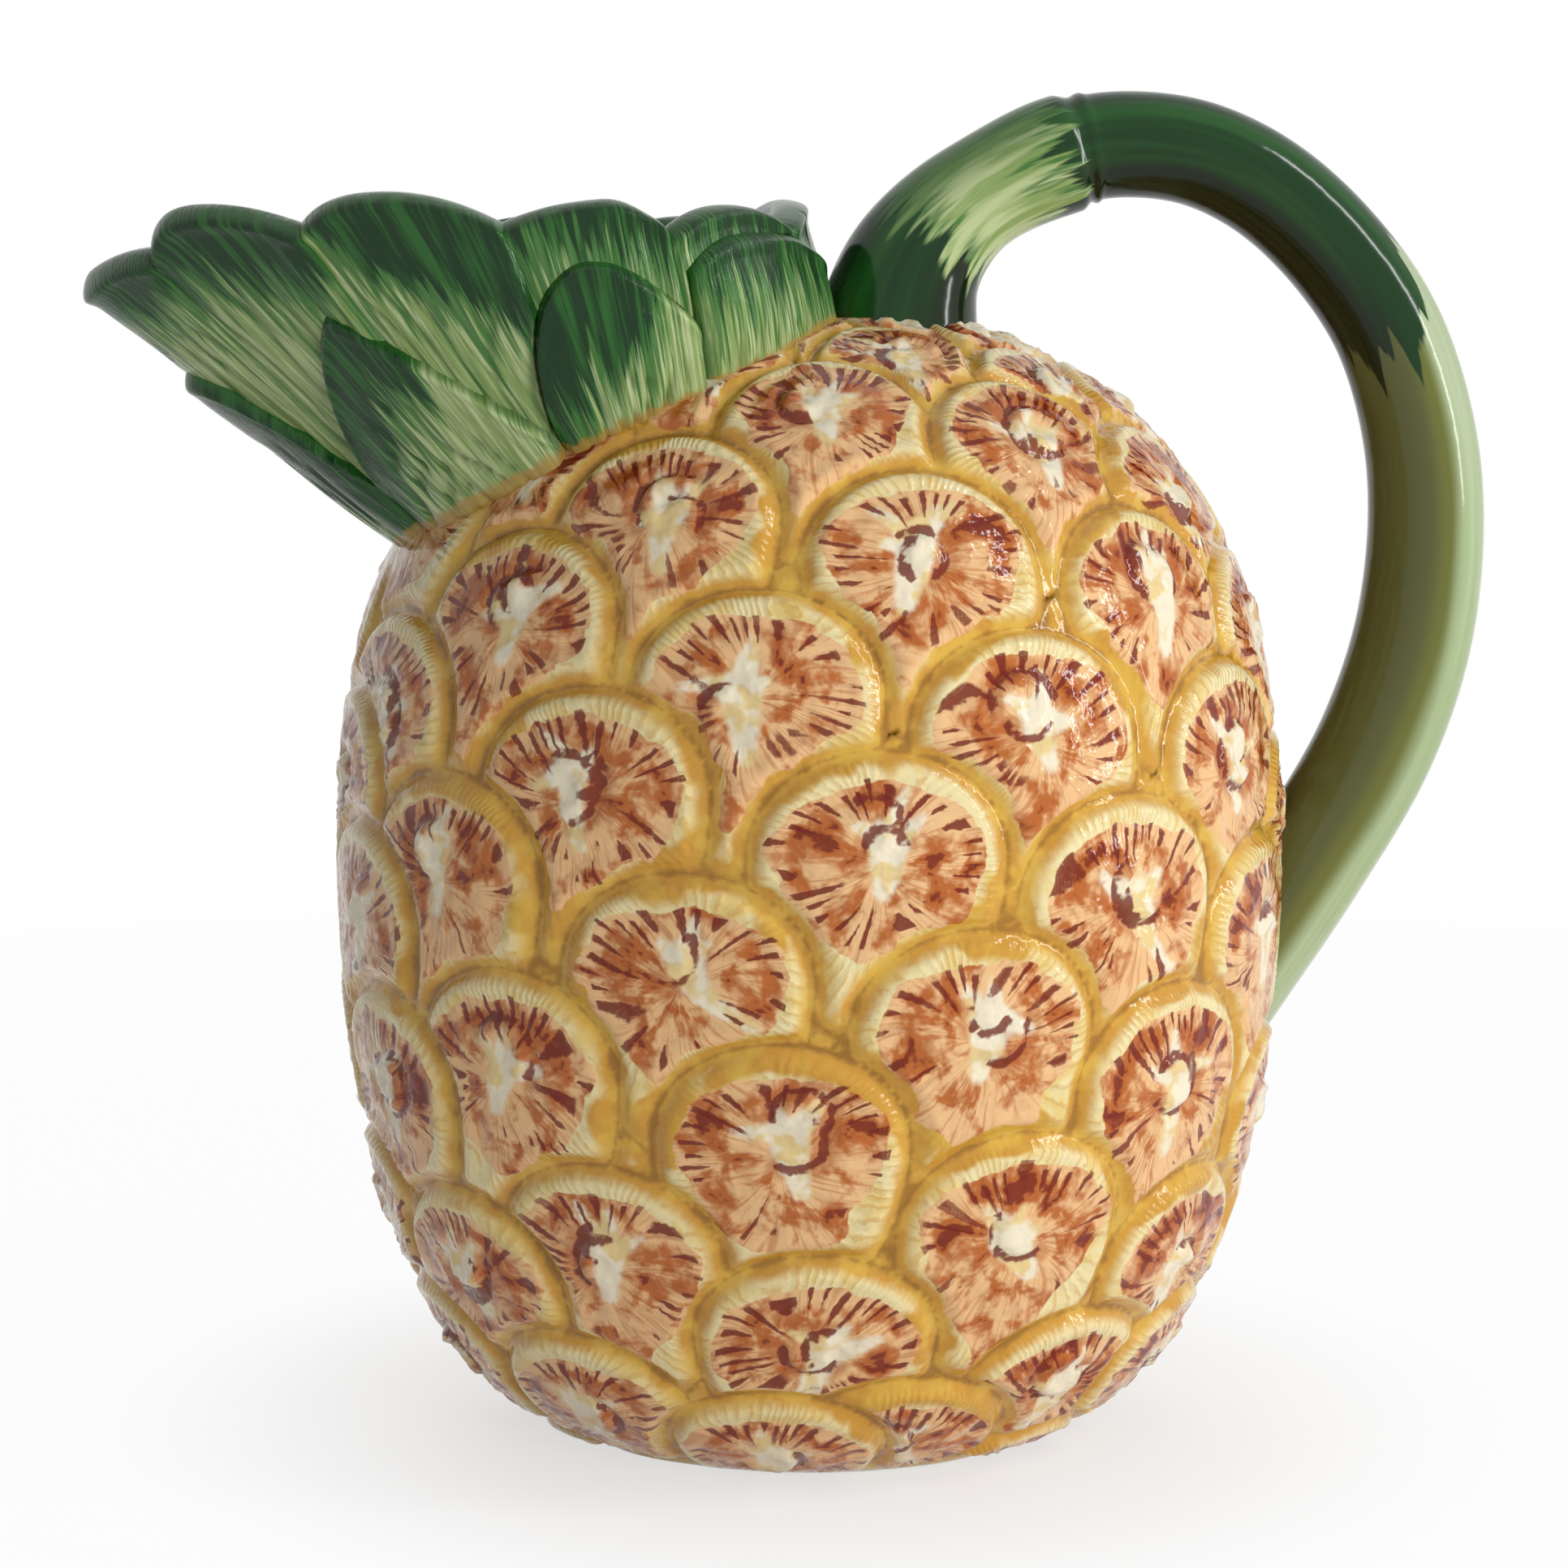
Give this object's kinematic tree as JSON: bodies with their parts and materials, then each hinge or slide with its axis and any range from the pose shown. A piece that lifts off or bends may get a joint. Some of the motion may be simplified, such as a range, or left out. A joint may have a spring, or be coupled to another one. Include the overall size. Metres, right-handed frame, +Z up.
{
  "type": "pineapple jug",
  "caption": "Glazed earthenware pouring jug in the shape of a pineapple, with a leaf crown that opens into the spout and a bent cane handle.",
  "frame": {"origin": "middle of the flat foot, on the surface that the jug stands on", "axes": "+Z up, -X towards the spout, +X towards the handle"},
  "size_m": [0.2561, 0.1732, 0.2431],
  "materials": {
    "fruitlet_glaze": "gloss glaze, brown and cream fruitlets with amber grooves",
    "collar_glaze": "gloss glaze, pale cream green",
    "rim_leaf_glaze": "gloss glaze, bottle green tips over pale sage",
    "lower_leaf_glaze": "gloss glaze, streaked sage with dark green tips",
    "cane_glaze": "gloss glaze, streaked green with dark green bands"
  },
  "bodies": {
    "root": {"body": "fruitlet_glaze", "crown_collar": "collar_glaze", "spout_leaf": "rim_leaf_glaze", "rim_leaf_left_1": "rim_leaf_glaze", "rim_leaf_left_2": "rim_leaf_glaze", "rim_leaf_left_3": "rim_leaf_glaze", "rim_leaf_left_4": "rim_leaf_glaze", "rim_leaf_right_1": "rim_leaf_glaze", "rim_leaf_right_2": "rim_leaf_glaze", "rim_leaf_right_3": "rim_leaf_glaze", "rim_leaf_right_4": "rim_leaf_glaze", "rim_leaf_back": "rim_leaf_glaze", "under_spout_leaf": "lower_leaf_glaze", "lower_leaf_left_1": "lower_leaf_glaze", "lower_leaf_left_2": "lower_leaf_glaze", "lower_leaf_left_3": "lower_leaf_glaze", "lower_leaf_right_1": "lower_leaf_glaze", "lower_leaf_right_2": "lower_leaf_glaze", "lower_leaf_right_3": "lower_leaf_glaze", "handle": "cane_glaze"}
  },
  "joints": []
}
